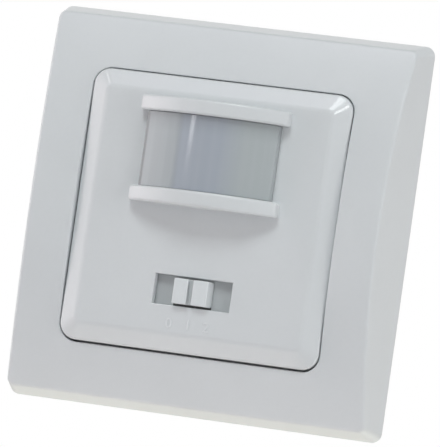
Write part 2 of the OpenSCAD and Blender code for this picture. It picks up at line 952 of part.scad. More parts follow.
module wedge(half, depth, cut) {
  polygon([
    [-half, 0], [half, 0],
    [half - slope * (depth - cut), depth - cut], [half - slope * depth - cut, depth],
    [-half + slope * depth + cut, depth], [-half + slope * (depth - cut), depth - cut]
  ]);
}

module housing_body(shrink, side) {
  half = housing_w / 2 - side;
  high = housing_h / 2 - shrink;
  cut = housing_chamfer - shrink / 2;
  translate([0, 0, step_z + shrink]) {
    linear_extrude(high - step_z - shrink) wedge(half, housing_depth - shrink, cut);
  }
  translate([0, 0, -high]) linear_extrude(high + step_z + 2 * shrink) {
    wedge(half, step_y - shrink, cut);
  }
}

module housing_shelves() {
  for (x = [-1, 1]) {
    translate([x * shelf_x, 0, 0]) mirror([x < 0 ? 1 : 0, 0, 0]) {
      box(0, wall_x + shelf_root, y_parts, y_parts + shelf_t, -shelf_z, shelf_z);
    }
  }
}

// Rails that keep a claw's foot straight on its ramp.
module claw_guides() {
  z0 = claw_flange_z + part_gap;
  for (side = [-1, 1], z = [0, 1]) claw_frame(side) mirror([0, 0, z]) {
    box(-claw_off - part_gap, -claw_off + guide_h, guide_s, claw_s + claw_t, z0, z0 + guide_t);
  }
}

module terminal_places() {
  for (i = [-1, 0, 1]) translate([i * terminal_pitch, 0, 0]) children();
}

module rear_housing() {
  color([0.84, 0.85, 0.85]) difference() {
    union() {
      difference() {
        housing_body(0, 0);
        housing_body(housing_wall, wall_x);
        box(-housing_w / 2 + wall_x, housing_w / 2 - wall_x, -over, skin,
            -housing_h / 2 + housing_wall, housing_h / 2 - housing_wall);
      }
      intersection() {
        union() {
          at_screws() rod(0, 0, boss_d, 0, boss_h);
          housing_shelves();
        }
        housing_body(housing_wall / 2, wall_x / 2);
      }
      claw_guides();
    }
    at_screws() rod(0, 0, screw_d + 2 * run_gap, -over, boss_h - boss_floor);
    box(-block_w / 2 - part_gap, block_w / 2 + part_gap, step_y - 2 * housing_wall, step_y + over,
        block_bottom - part_gap, block_top + part_gap);
    terminal_places() box(-entry_w / 2, entry_w / 2, y_bar - entry_w + fit_gap, y_bar + fit_gap,
                          -housing_h, block_bottom);
  }
}

// Power board and its parts

module power_board() {
  color([0.12, 0.34, 0.2]) difference() {
    slab(y_power, y_parts) square([power_board_w, power_board_h], center = true);
    for (x = [-1, 1], z = [-1, 1]) {
      translate([x * (screw_x - boss_room), 0, z * (screw_z - boss_room)]) {
        mirror([x < 0 ? 1 : 0, 0, 0]) mirror([0, 0, z < 0 ? 1 : 0]) {
          box(0, housing_w, y_power - over, y_parts + over, 0, housing_h);
        }
      }
    }
    header_pin_row(fit_gap, y_power - over, y_parts + over);
    terminal_places() box(-bar_w / 2 - fit_gap, bar_w / 2 + fit_gap, y_power - over, y_parts + over,
                          bar_back_z - tail_t - fit_gap, bar_back_z + fit_gap);
  }
}

module relay() {
  color([0.1, 0.22, 0.45]) {
    box(-relay_w / 2, relay_w / 2, y_parts + relay_foot, y_parts + relay_h,
        relay_z - relay_d / 2, relay_z + relay_d / 2);
    for (x = [-1, 1], z = [-1, 1]) {
      rod(x * (relay_w / 2 - relay_foot_in), relay_z + z * (relay_d / 2 - relay_foot_in), relay_foot_d,
          y_parts, y_parts + 2 * relay_foot);
    }
  }
}

module film_capacitor() {
  color([0.85, 0.68, 0.12]) {
    box(film_x - film_w / 2, film_x + film_w / 2, y_parts, y_parts + film_h,
        film_z - film_d / 2, film_z + film_d / 2);
  }
}

module electrolytic_capacitor() {
  color([0.13, 0.14, 0.2]) difference() {
    rod(electro_x, electro_z, electro_d, y_parts, y_parts + electro_h);
    translate([electro_x, y_parts + crimp_up, electro_z]) rotate([90, 0, 0]) {
      rotate_extrude() translate([electro_d / 2 + crimp / 4, 0]) circle(crimp);
    }
    for (a = [0, 90]) translate([electro_x, y_parts + electro_h, electro_z]) rotate([0, a, 0]) {
      cube([vent_l, crimp, crimp / 2], center = true);
    }
  }
}

module varistor() {
  y_mid = y_parts + varistor_stand + varistor_d / 2;
  color([0.12, 0.3, 0.6]) {
    translate([varistor_x, y_mid, varistor_z - varistor_t / 2]) cylinder(h = varistor_t, d = varistor_d);
    for (x = [-1, 1]) rod(varistor_x + x * varistor_lead, varistor_z, lead_d + part_gap, y_parts, y_mid);
  }
}

module bridge_rectifier() {
  color([0.07, 0.07, 0.08]) {
    translate([-bridge[0] / 2, y_power - bridge[1], bridge_z - bridge[2] / 2]) cube(bridge);
  }
}

// Terminals

module terminal_block() {
  y_well = y_shoulder + shoulder_t;
  bar = bar_w / 2 + fit_gap;
  room = clamp_w / 2 + fit_gap;
  color([0.2, 0.36, 0.28]) difference() {
    box(-block_w / 2, block_w / 2, y_parts, step_y, block_bottom, block_top);
    terminal_places() {
      box(-room, room, y_clamp - fit_gap, y_shoulder,
          clamp_z - clamp_l / 2 - fit_gap, clamp_z + clamp_l / 2 + fit_gap);
      box(-entry_w / 2, entry_w / 2, y_clamp + clamp_t, y_bar + fit_gap,
          block_bottom - over, clamp_z);
      box(-bar, bar, y_bar - fit_gap, y_bar + bar_t + fit_gap,
          bar_front_z - fit_gap, bar_back_z + fit_gap);
      box(-bar, bar, y_parts - over, y_bar + bar_t,
          bar_back_z - tail_t - fit_gap, bar_back_z + fit_gap);
      rod(0, clamp_z, terminal_screw_d + 2 * part_gap, y_shoulder - over, y_well + over);
      rod(0, clamp_z, terminal_head_d + 2 * part_gap, y_well, step_y + over);
    }
  }
}

module contact_bars() {
  color([0.78, 0.62, 0.3]) terminal_places() {
    box(-bar_w / 2, bar_w / 2, y_bar, y_bar + bar_t, bar_front_z, bar_back_z);
    box(-bar_w / 2, bar_w / 2, y_tail, y_bar + bar_t / 2, bar_back_z - tail_t, bar_back_z);
  }
}

module terminal_clamp() {
  inner = clamp_w / 2 - clamp_t;
  color([0.76, 0.77, 0.78]) translate([0, 0, clamp_z]) difference() {
    box(-clamp_w / 2, clamp_w / 2, y_clamp, y_clamp + clamp_h, -clamp_l / 2, clamp_l / 2);
    box(-inner, inner, y_clamp + clamp_t, y_clamp + clamp_h - clamp_t, -clamp_l, clamp_l);
    rod(0, 0, terminal_screw_d + 2 * run_gap, y_clamp + clamp_h / 2, y_clamp + clamp_h + over);
  }
}

module terminal_screw() {
  y_top = y_head + terminal_head_h;
  color([0.8, 0.78, 0.7]) translate([0, 0, clamp_z]) difference() {
    union() {
      rod(0, 0, terminal_head_d, y_head, y_top);
      rod(0, 0, terminal_screw_d, y_bar + bar_t + fit_gap, y_head + skin);
    }
    box(-terminal_head_d, terminal_head_d, y_top - screw_slot_d, y_top + over,
        -screw_slot_w / 2, screw_slot_w / 2);
  }
}

module terminal_clamp_1() {
  translate([-terminal_pitch, 0, 0]) terminal_clamp();
}

module terminal_clamp_2() {
  terminal_clamp();
}

module terminal_clamp_3() {
  translate([terminal_pitch, 0, 0]) terminal_clamp();
}

module terminal_screw_1() {
  translate([-terminal_pitch, 0, 0]) terminal_screw();
}

module terminal_screw_2() {
  terminal_screw();
}

module terminal_screw_3() {
  translate([terminal_pitch, 0, 0]) terminal_screw();
}

// Spreader claws

module claw_teeth() {
  step = (claw_half_z - claw_notch_z) / 2;
  polygon([
    [claw_arm_v, claw_notch_z], [claw_reach - claw_tooth, claw_notch_z],
    [claw_reach, claw_notch_z + step / 2], [claw_reach - claw_tooth, claw_notch_z + step],
    [claw_reach, claw_notch_z + 1.5 * step], [claw_reach - claw_tooth, claw_half_z],
    [claw_arm_v, claw_half_z]
  ]);
}

module claw() {
  s_front = claw_s - claw_arm_l;
  color([0.74, 0.75, 0.76]) {
    difference() {
      box(-claw_inner, claw_arm_v + claw_t, claw_s, claw_s + claw_t, -claw_flange_z, claw_flange_z);
      rod(0, 0, claw_screw_d + 2 * run_gap, claw_s - over, claw_s + claw_t + over);
    }
    difference() {
      box(claw_arm_v, claw_arm_v + claw_t, s_front, claw_s + claw_t, -claw_half_z, claw_half_z);
      box(claw_arm_v - over, claw_arm_v + claw_t + over, s_front - over, claw_s - claw_root,
          -claw_notch_z, claw_notch_z);
    }
    for (z = [0, 1]) mirror([0, 0, z]) slab(s_front, s_front + claw_t) claw_teeth();
  }
}

module claw_screw() {
  s_top = claw_head_s - claw_head_h;
  color([0.72, 0.73, 0.74]) difference() {
    union() {
      rod(0, 0, claw_head_d, s_top, claw_head_s);
      rod(0, 0, claw_screw_d, claw_head_s - skin, claw_screw_s);
    }
    box(-claw_head_d, claw_head_d, s_top - over, s_top + screw_slot_d,
        -screw_slot_w / 2, screw_slot_w / 2);
  }
}

module claw_left() {
  claw_frame(-1) claw();
}

module claw_right() {
  claw_frame(1) claw();
}

module claw_screw_left() {
  claw_frame(-1) claw_screw();
}

module claw_screw_right() {
  claw_frame(1) claw_screw();
}

cover_frame();
front_cover();
fresnel_lens();
lens_retainer();
mode_slider();
switch_actuator();
switch_can();
switch_base();
chassis();
sensor_board();
pir_can();
pir_window();
pir_spacer();
light_sensor();
detector_chip();
board_passives();
time_trimmer_body();
time_trimmer_rotor();
lux_trimmer_body();
lux_trimmer_rotor();
header_strip();
header_pins();
support_plate();
assembly_screws();
rear_housing();
power_board();
relay();
film_capacitor();
electrolytic_capacitor();
varistor();
bridge_rectifier();
terminal_block();
contact_bars();
terminal_clamp_1();
terminal_clamp_2();
terminal_clamp_3();
terminal_screw_1();
terminal_screw_2();
terminal_screw_3();
claw_left();
claw_right();
claw_screw_left();
claw_screw_right();
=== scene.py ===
import json
import math
import bpy
import bmesh
from mathutils import Matrix, Vector


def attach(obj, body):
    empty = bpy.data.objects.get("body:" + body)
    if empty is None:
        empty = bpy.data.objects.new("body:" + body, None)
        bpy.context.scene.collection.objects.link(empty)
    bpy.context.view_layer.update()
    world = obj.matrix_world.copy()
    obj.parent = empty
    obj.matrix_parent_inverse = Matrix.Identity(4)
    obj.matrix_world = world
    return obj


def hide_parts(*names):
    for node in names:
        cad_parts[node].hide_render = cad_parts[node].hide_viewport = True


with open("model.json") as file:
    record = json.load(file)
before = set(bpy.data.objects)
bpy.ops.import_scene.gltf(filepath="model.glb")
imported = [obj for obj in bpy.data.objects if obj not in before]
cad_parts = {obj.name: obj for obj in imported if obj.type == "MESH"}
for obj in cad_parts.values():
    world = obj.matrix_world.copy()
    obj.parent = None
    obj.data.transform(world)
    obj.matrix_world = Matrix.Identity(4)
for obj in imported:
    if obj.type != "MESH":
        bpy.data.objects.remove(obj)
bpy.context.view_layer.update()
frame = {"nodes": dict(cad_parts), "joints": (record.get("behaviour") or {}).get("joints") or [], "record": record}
mm = 0.001
tiny = 1e-7  # metres, closer than any two real points
print("frame loaded:", len(frame["nodes"]), "nodes")


# Mesh tools. Sizes are in millimetres until they reach a vertex.

def unique(parts):
    return list(dict.fromkeys(parts))  # each part once, in the order given


def roundLoop(bm, width, radius, y, cuts=0, steps=8):
    quad = bmesh.ops.create_grid(bm, x_segments=1, y_segments=1, size=1)["verts"]
    for v in quad:
        x = math.copysign(width / 2, v.co.x)
        z = math.copysign(width / 2, v.co.y)
        v.co = Vector((x, y, z)) * mm
    made = bmesh.ops.bevel(bm, geom=quad, offset=radius * mm, offset_type="OFFSET", segments=steps,
                           profile=0.5, affect="VERTICES", material=-1)["verts"]
    face = made[0].link_faces[0]
    ring = list(face.verts)
    sides = sorted(face.edges, key=lambda e: e.calc_length())[-4:]
    bmesh.ops.delete(bm, geom=[face], context="FACES_ONLY")
    if cuts:
        cut = bmesh.ops.subdivide_edges(bm, edges=sides, cuts=cuts)["geom_inner"]
        ring = walkRing(next(g for g in cut if isinstance(g, bmesh.types.BMVert)))
    return ring


def walkRing(start):
    ring, fresh = [start], [start]
    while fresh:
        v = fresh.pop()
        new = [e.other_vert(v) for e in v.link_edges if e.other_vert(v) not in ring]
        ring += new
        fresh += new
    return ring


def ringEdges(ring):
    members = set(ring)
    return unique(e for v in ring for e in v.link_edges if e.other_vert(v) in members)


def growRings(bm, rings, closed=False, cuts=0):
    # Each ring is drawn out of the one before and takes its own width, corner radius and depth.
    # A closed skin comes back to its first ring.
    path = rings + rings[:1] if closed else rings
    loops = [roundLoop(bm, *rings[0], cuts)]
    for old, new in zip(path, path[1:]):
        made = bmesh.ops.extrude_edge_only(bm, edges=ringEdges(loops[-1]))["geom"]
        loops.append([g for g in made if isinstance(g, bmesh.types.BMVert)])
        straight, newStraight = (width / 2 - radius for width, radius, depth in (old, new))
        for v in loops[-1]:
            for axis in (0, 2):
                far = abs(v.co[axis]) / mm
                if far < straight:
                    far = far * newStraight / straight
                else:
                    far = newStraight + (far - straight) * new[1] / old[1]  # round the corner
                v.co[axis] = math.copysign(far * mm, v.co[axis])
            v.co.y = new[2] * mm
    if closed:
        bmesh.ops.weld_verts(bm, targetmap={v: min(loops[0], key=lambda o: (o.co - v.co).length)
                                            for v in loops.pop()})
    return loops


def soften(bm, edges, width, steps=3, clamp=True):
    bm.normal_update()
    bmesh.ops.bevel(bm, geom=edges, offset=width * mm, offset_type="OFFSET", segments=steps,
                    profile=0.5, affect="EDGES", clamp_overlap=clamp, material=-1)


def sharpEdges(edges, degrees=30):
    limit = math.radians(degrees)
    return [e for e in edges if len(e.link_faces) == 2 and e.calc_face_angle(0) > limit]


def edgesOf(verts):
    return unique(e for v in verts for e in v.link_edges)


def addBlock(bm, low, high, width=0.15):
    verts = bmesh.ops.create_cube(bm, size=2)["verts"]
    for v in verts:
        v.co = Vector([(b if c > 0 else a) * mm for a, b, c in zip(low, high, v.co)])
    soften(bm, edgesOf(verts), width, steps=2)


def addRod(bm, x, z, diameter, yFront, yBack, width=0.15, segments=32):
    place = Matrix.Translation(Vector((x, (yFront + yBack) / 2, z)) * mm)
    turn = Matrix.Rotation(math.radians(90), 4, "X")
    verts = bmesh.ops.create_cone(bm, cap_ends=True, segments=segments, radius1=diameter / 2 * mm,
                                  radius2=diameter / 2 * mm, depth=(yBack - yFront) * mm,
                                  matrix=place @ turn)["verts"]
    soften(bm, sharpEdges(edgesOf(verts), degrees=60), width, steps=2)


def absorb(bm, other):
    carrier = bpy.data.meshes.new("carrier")
    other.to_mesh(carrier)
    other.free()
    bm.from_mesh(carrier)
    bpy.data.meshes.remove(carrier)


def fourSides(bm, verts):
    faces = unique(f for v in verts for f in v.link_faces)
    for quarter in (1, 2, 3):
        made = bmesh.ops.duplicate(bm, geom=verts + edgesOf(verts) + faces)
        copied = [g for g in made["geom"] if isinstance(g, bmesh.types.BMVert)]
        bmesh.ops.rotate(bm, verts=copied, cent=(0, 0, 0),
                         matrix=Matrix.Rotation(math.radians(90 * quarter), 3, "Y"))


def makePiece(bm, name, material, body, replaced=(), outward=True, crease=38):
    if outward:
        bmesh.ops.recalc_face_normals(bm, faces=bm.faces)
    for e in bm.edges:
        e.smooth = len(e.link_faces) == 2 and e.calc_face_angle(0) < math.radians(crease)
    for f in bm.faces:
        f.smooth = True
    mesh = bpy.data.meshes.new(name)
    bm.to_mesh(mesh)
    bm.free()
    mesh.materials.append(material)
    piece = bpy.data.objects.new(name, mesh)
    bpy.context.scene.collection.objects.link(piece)
    even = piece.modifiers.new("evenNormals", "WEIGHTED_NORMAL")
    even.keep_sharp = True
    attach(piece, body)
    if replaced:
        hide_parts(*replaced)
    print("piece", name, len(mesh.polygons), "faces")


# Shader tools

class Wire:
    def __init__(self, tree, socket):
        self.tree = tree
        self.socket = socket

    def put(self, kind, settings, inputs, output=0):
        node = self.tree.nodes.new(kind)
        for key, value in settings.items():
            if key == "stops":
                ramp = node.color_ramp.elements
                while len(ramp) < len(value):
                    ramp.new(0.5)
                for stop, (place, colour) in zip(ramp, value):
                    stop.position = place
                    stop.color = (*colour, 1)
            else:
                setattr(node, key, value)
        for key, value in inputs.items():
            if isinstance(value, Wire):
                self.tree.links.new(value.socket, node.inputs[key])
            else:
                node.inputs[key].default_value = value
        return Wire(self.tree, node.outputs[output])

    def math(self, operation, first, second=0.0):
        return self.put("ShaderNodeMath", {"operation": operation}, {0: first, 1: second})

    def __add__(self, other):
        return self.math("ADD", self, other)

    def __sub__(self, other):
        return self.math("SUBTRACT", self, other)

    def __rsub__(self, other):
        return self.math("SUBTRACT", other, self)

    def __mul__(self, other):
        return self.math("MULTIPLY", self, other)

    def __truediv__(self, other):
        return self.math("DIVIDE", self, other)

    def __rtruediv__(self, other):
        return self.math("DIVIDE", other, self)

    __radd__ = __add__
    __rmul__ = __mul__

    def blend(self, first, second):
        # Sockets 6 and 7 of the Mix node are its two colours, and output 2 is the blended one.
        ends = {6: first if isinstance(first, Wire) else (*first, 1),
                7: second if isinstance(second, Wire) else (*second, 1)}
        return self.put("ShaderNodeMix", {"data_type": "RGBA"}, {0: self, **ends}, 2)

    def noise(self, scale, detail=2.0, stretch=(1, 1, 1)):
        at = self.put("ShaderNodeMapping", {}, {"Vector": self, "Scale": stretch})
        return self.put("ShaderNodeTexNoise", {}, {"Vector": at, "Scale": scale, "Detail": detail})

    def axis(self, letter):
        return self.put("ShaderNodeSeparateXYZ", {}, {0: self}, letter)

    def step(self, low, high):
        return self.put("ShaderNodeMapRange", {"interpolation_type": "SMOOTHSTEP"},
                        {"Value": self, "From Min": low, "From Max": high})

    def bump(self, strength, distance):
        return self.put("ShaderNodeBump", {}, {"Strength": strength, "Distance": distance,
                                               "Height": self})


def tint(red, green, blue):
    # Screen levels become linear light.
    return tuple(c / 12.92 if c <= 0.04045 else ((c + 0.055) / 1.055) ** 2.4
                 for c in (red / 255, green / 255, blue / 255))


def shade(colour, amount):
    return tuple(min(1.0, c * amount) for c in colour)


def newFinish(name, constants):
    material = bpy.data.materials.new(name)
    material.use_nodes = True
    tree = material.node_tree
    shader = tree.nodes["Principled BSDF"]
    for key, value in constants.items():
        shader.inputs[key].default_value = value
    place = tree.nodes.new("ShaderNodeTexCoord")
    return material, shader, Wire(tree, place.outputs["Object"])


def feed(shader, **wires):
    names = {"colour": "Base Color", "rough": "Roughness", "normal": "Normal"}
    for key, wire in wires.items():
        wire.tree.links.new(wire.socket, shader.inputs[names[key]])


# Moulded plastic: a faint cloud and a fine grain in the colour, and the tool's texture as bump.

plasticLook = {"ior": 1.5, "coatRough": 0.1, "cloud": 70, "fine": 1500, "cloudShare": 0.7,
               "contrast": (0.3, 0.7), "rough": (-0.06, 0.08, 0.06), "bump": 0.35,
               "speck": 5200, "speckStep": (0.72, 0.78), "speckShade": 0.45}


def paintRecessShade(at, base, colour, paintedShade):
    # Painted shade: darker inside the knob's groove and on the slot's floor, and a near-black painted shadow along
    # the knob's foot.
    for part in ("groove", "floor", "foot"):
        place = paintedShade[part]
        front, back = place["depth"]
        inside = at.axis("Y").step(front * mm, back * mm)
        for letter, reach, middle in place["within"]:
            far = at.math("ABSOLUTE", at.axis(letter) - middle * mm)
            inside = inside * far.step(reach * mm, (reach - paintedShade["fade"]) * mm)
        base = inside.blend(base, shade(colour, place["share"]))
    return base


def mouldedPlastic(name, colour, rough, grain, grainDepth, mottle, specks=0.0, coat=0.0, paintedShade=None):
    look = plasticLook
    material, shader, at = newFinish(name, {"IOR": look["ior"], "Coat Weight": coat,
                                            "Coat Roughness": look["coatRough"]})
    cloud = at.noise(look["cloud"], detail=3)
    fine = at.noise(look["fine"], detail=2)
    mixed = (cloud * look["cloudShare"] + fine * (1 - look["cloudShare"])).step(*look["contrast"])
    base = mixed.blend(shade(colour, 1 - mottle), shade(colour, 1 + mottle))
    if specks:
        dust = at.noise(look["speck"], detail=1).step(*look["speckStep"]) * specks
        base = dust.blend(base, shade(colour, look["speckShade"]))
    # Painted shade where places for it are given.
    if paintedShade:
        base = paintRecessShade(at, base, colour, paintedShade)
    skin = at.noise(grain, detail=3)
    change, byCloud, byFine = look["rough"]
    feed(shader, colour=base, rough=rough + change + cloud * byCloud + fine * byFine,
         normal=skin.bump(look["bump"], grainDepth * mm))
    return material


# Plated metal: brushed lines over a soft spangle.

metalLook = {"spangle": 240, "spangleStep": (0.35, 0.7), "brushStep": (0.3, 0.75), "brushShade": 0.78,
             "rough": (-0.08, 0.2, 0.06), "bump": 0.25, "depth": 0.015}


def platedMetal(name, colour, rough=0.34, stretch=(1, 1, 0.06), lines=1600, cast=(1.0, 0.97, 0.88)):
    look = metalLook
    material, shader, at = newFinish(name, {"Metallic": 1.0})
    brushed = at.noise(lines, 3, stretch)
    spangle = at.noise(look["spangle"], detail=2)
    warm = tuple(a * b for a, b in zip(colour, cast))
    base = spangle.step(*look["spangleStep"]).blend(colour, warm)
    base = brushed.step(*look["brushStep"]).blend(shade(colour, look["brushShade"]), base)
    change, byBrush, bySpangle = look["rough"]
    feed(shader, colour=base, rough=rough + change + brushed * byBrush + spangle * bySpangle,
         normal=brushed.bump(look["bump"], look["depth"] * mm))
    return material


# Circuit board: tracks under the solder mask, with the glass weave showing a little.

boardLook = {"mask": tint(28, 82, 48), "track": tint(52, 112, 66), "coat": 0.3, "cells": 420,
             "edge": (0.1, 0.16), "weave": 2400, "stretch": (1, 1, 0.2), "weaveShare": 0.3,
             "weaveShade": 0.7, "rough": 0.3, "byWeave": 0.2, "bump": 0.4, "depth": 0.03}


def circuitBoard(look):
    material, shader, at = newFinish("solderMask", {"IOR": 1.5, "Coat Weight": look["coat"]})
    cells = at.put("ShaderNodeTexVoronoi", {"feature": "DISTANCE_TO_EDGE", "distance": "CHEBYCHEV"},
                   {"Vector": at, "Scale": look["cells"]})
    lines = cells.step(*look["edge"])
    weave = at.noise(look["weave"], 2, look["stretch"])
    base = lines.blend(look["track"], look["mask"])
    base = (weave * look["weaveShare"]).blend(base, shade(look["mask"], look["weaveShade"]))
    feed(shader, colour=base, rough=look["rough"] + weave * look["byWeave"],
         normal=(lines * -1).bump(look["bump"], look["depth"] * mm))
    return material


# Light sensor: a winding track on its face.

photocellLook = {"track": tint(150, 72, 44), "between": tint(206, 160, 104), "coat": 0.4, "bands": 330.0,
                 "waver": 1.5, "edge": (0.45, 0.6), "grain": 3000, "rough": 0.35, "byGrain": 0.2,
                 "bump": 0.3, "depth": 0.03}


def photocellFinish(look):
    material, shader, at = newFinish("photocellTrack", {"IOR": 1.5, "Coat Weight": look["coat"]})
    snake = at.put("ShaderNodeTexWave", {"bands_direction": "Z"},
                   {"Vector": at, "Scale": look["bands"], "Distortion": look["waver"]}).step(*look["edge"])
    grain = at.noise(look["grain"], detail=2)
    base = snake.blend(look["track"], look["between"])
    feed(shader, colour=base, rough=look["rough"] + grain * look["byGrain"],
         normal=snake.bump(look["bump"], look["depth"] * mm))
    return material


# Capacitor sleeve: dark shrink film with one pale stripe along it.

sleeveLook = {"film": tint(38, 40, 56), "stripe": tint(150, 156, 160), "fold": tint(20, 20, 28),
              "stripeFrom": (9.4, 9.6), "shrink": 900, "stretch": (1, 0.2, 1), "foldShare": 0.25,
              "rough": 0.3, "byShrink": 0.15, "bump": 0.3, "depth": 0.04}


def sleeveFinish(look):
    material, shader, at = newFinish("capacitorSleeve", {"IOR": 1.5})
    low, high = look["stripeFrom"]
    stripe = at.axis("X").step(low * mm, high * mm)
    shrink = at.noise(look["shrink"], 2, look["stretch"])
    base = stripe.blend(look["film"], look["stripe"])
    base = (shrink * look["foldShare"]).blend(base, look["fold"])
    feed(shader, colour=base, rough=look["rough"] + shrink * look["byShrink"],
         normal=shrink.bump(look["bump"], look["depth"] * mm))
    return material


# Lens film: milky, with painted shading in tones that change across it, a painted shadow along its left edge, and
# a darker band under the upper bar that is a painted shadow of the bar.

lensLook = {"left": tint(157, 165, 169), "middle": tint(168, 176, 187), "right": tint(176, 184, 186),
            "edge": tint(104, 109, 113), "streak": tint(196, 200, 206),
            # The first stop, in the edge colour, is a painted shadow along the lens's left edge; the tones across
            # the lens are painted shading.
            "stops": [(0.016, "edge"), (0.026, "left"), (0.28, "left"), (0.33, "middle"),
                      (0.62, "middle"), (0.8, "right"), (0.985, "right")],
            "half": 13.9, "rough": 0.3, "byStreak": 0.1, "alpha": 0.9, "coatRough": 0.08,
            "streaks": 700, "stretch": (1, 1, 0.02), "streakStep": (0.3, 0.7), "streakShare": 0.12,
            # A painted shadow of the upper bar darkens the top of the lens.
            "paintedBarShadow": (15.5, 19.5), "paintedBarShadowShare": 0.3, "ribs": 520.0, "ribShare": 0.5,
            "bump": 0.1, "depth": 0.01}


def lensFinish(look):
    material, shader, at = newFinish("milkyFilm", {"IOR": 1.5, "Alpha": look["alpha"], "Coat Weight": 1.0,
                                                   "Coat Roughness": look["coatRough"]})
    across = at.axis("X") / (2 * look["half"] * mm) + 0.5
    # Painted shading across the lens, with a painted shadow at its left edge.
    stops = [(place, look[tone]) for place, tone in look["stops"]]
    body = at.put("ShaderNodeValToRGB", {"stops": stops}, {0: across})
    streaks = at.noise(look["streaks"], 3, look["stretch"]).step(*look["streakStep"])
    base = (streaks * look["streakShare"]).blend(body, look["streak"])
    # Painted shadow of the upper bar across the top of the lens.
    low, high = look["paintedBarShadow"]
    paintedBarShadow = at.axis("Z").step(low * mm, high * mm)
    base = (paintedBarShadow * look["paintedBarShadowShare"]).blend(base, look["edge"])
    ribs = at.put("ShaderNodeTexWave", {"bands_direction": "X"}, {"Vector": at, "Scale": look["ribs"]})
    feed(shader, colour=base, rough=look["rough"] + streaks * look["byStreak"],
         normal=(ribs * look["ribShare"] + streaks).bump(look["bump"], look["depth"] * mm))
    return material


# One finish for each material slot of the record

satin = {"rough": 0.36, "grain": 2200, "grainDepth": 0.008, "mottle": 0.012, "coat": 0.4}

# Slot: name, colour, roughness, grain scale, grain depth in millimetres, mottle, specks
plastics = {
    "module_plastic": ("housingWhite", (214, 216, 214), 0.5, 1500, 0.04, 0.03),
    "dark_plastic": ("matteBlack", (34, 34, 37), 0.5, 1900, 0.03, 0.12),
    "brown_laminate": ("paperLaminate", (92, 66, 44), 0.6, 1700, 0.04, 0.2, 0.4),
    "small_parts": ("ceramicChips", (176, 158, 124), 0.42, 2600, 0.02, 0.15),
    "trimmer_blue": ("trimmerBlue", (44, 86, 150), 0.36, 2200, 0.02, 0.08),
    "rotor_white": ("rotorIvory", (226, 224, 212), 0.44, 2400, 0.02, 0.05),
    "relay_blue": ("relayBlue", (32, 62, 118), 0.28, 1700, 0.03, 0.08),
    "film_yellow": ("filmYellow", (216, 176, 44), 0.3, 2100, 0.02, 0.06),
    "terminal_green": ("terminalGreen", (58, 98, 80), 0.44, 1800, 0.03, 0.07),
}

finishes = {slot: mouldedPlastic(name, tint(*colour), *numbers)
            for slot, (name, colour, *numbers) in plastics.items()}
finishes.update({
    "white_cover": mouldedPlastic("satinWhite", tint(217, 221, 223), **satin),
    "plated_steel": platedMetal("zincSteel", tint(196, 198, 200)),
    "sensor_can": platedMetal("nickelCan", tint(205, 202, 190), rough=0.26),
    "contact_metal": platedMetal("brassStrip", tint(214, 184, 106), rough=0.3, stretch=(1, 0.08, 1),
                                 lines=1500, cast=(1.0, 0.9, 0.72)),
    "board_green": circuitBoard(boardLook),
    "photocell": photocellFinish(photocellLook),
    "sleeve_dark": sleeveFinish(sleeveLook),
    "lens_film": lensFinish(lensLook),
})
print("finishes made:", len(finishes))


# Cover frame: one closed skin with an arched face, a collar and a ledge inside, and ribs.

frameSizes = {
    "crown": 12.1, "wall": 2.0, "arch": 138.73, "run": 0.24933, "half": 40.0, "cuts": 15,
    "outer": [(80.0, 2.1, 0.0)],
    "face": [(76.66, 1.6, 0.0), (71.0, 2.6, 0.0), (66.0, 3.0, 0.15), (61.0, 3.4, 0.45), (55.6, 3.7, 1.0)],
    "opening": [(55.6, 3.7, -3.5), (59.0, 5.4, -3.5)],
    "behind": [(59.0, 5.4, 0.4), (66.0, 3.2, 0.15), (73.48, 1.7, 0.0)],
    "inner": [(76.0, 2.0, 0.0)],
    "outerSoft": 0.5, "openingSoft": 0.3, "wallSoft": 0.3, "play": 0.2,
    "collar": [(59.0, 5.4, -3.9), (59.0, 5.4, -1.0), (55.6, 3.7, -1.0), (55.6, 3.7, -3.9)],
    "web": [(56.4, 4.1, -4.0), (56.4, 4.1, -3.5), (52.8, 2.3, -3.5), (52.8, 2.3, -4.0)],
    "ledge": [(56.4, 4.1, -3.7), (56.4, 4.1, -2.6), (52.8, 2.3, -2.6), (52.8, 2.3, -3.7)],
    "notch": 12.0,
    "rib": {"low": (28.75, -11.2, 15.4), "high": (37.0, -1.2, 16.6), "sunk": 1.0, "soft": 0.2},
}


def archDepth(sizes, z, setIn=0.0):
    radius = sizes["arch"] - setIn
    return sizes["crown"] - setIn - radius + math.sqrt(radius ** 2 - z ** 2)


def bendRing(ring, sizes, setIn, dip, edge=False):
    # The sides dip a little towards the opening. The outermost ring also follows the sloping
    # sides, which lean in as the arch rises.
    widest = max(abs(v.co.z) for v in ring) / mm
    for v in ring:
        depth = archDepth(sizes, v.co.z / mm, setIn) - dip * (1 - (v.co.z / mm / widest) ** 2)
        v.co.y = -depth * mm
        if edge:
            v.co.x *= (sizes["half"] - setIn - depth * sizes["run"]) / widest


def cornerRing(rings, notch):
    bm = bmesh.new()
    growRings(bm, rings, closed=True)
    half = notch / 2 * mm
    for normal in ((1, 0, 0), (0, 0, 1)):
        for side in (-1, 1):
            everything = bm.verts[:] + bm.edges[:] + bm.faces[:]
            bmesh.ops.bisect_plane(bm, geom=everything, plane_co=Vector(normal) * half * side,
                                   plane_no=normal)
    middle = [f for f in bm.faces
              if min(abs(f.calc_center_median().x), abs(f.calc_center_median().z)) < half]
    bmesh.ops.delete(bm, geom=middle, context="FACES")
    bmesh.ops.holes_fill(bm, edges=[e for e in bm.edges if e.is_boundary], sides=0)
    return bm


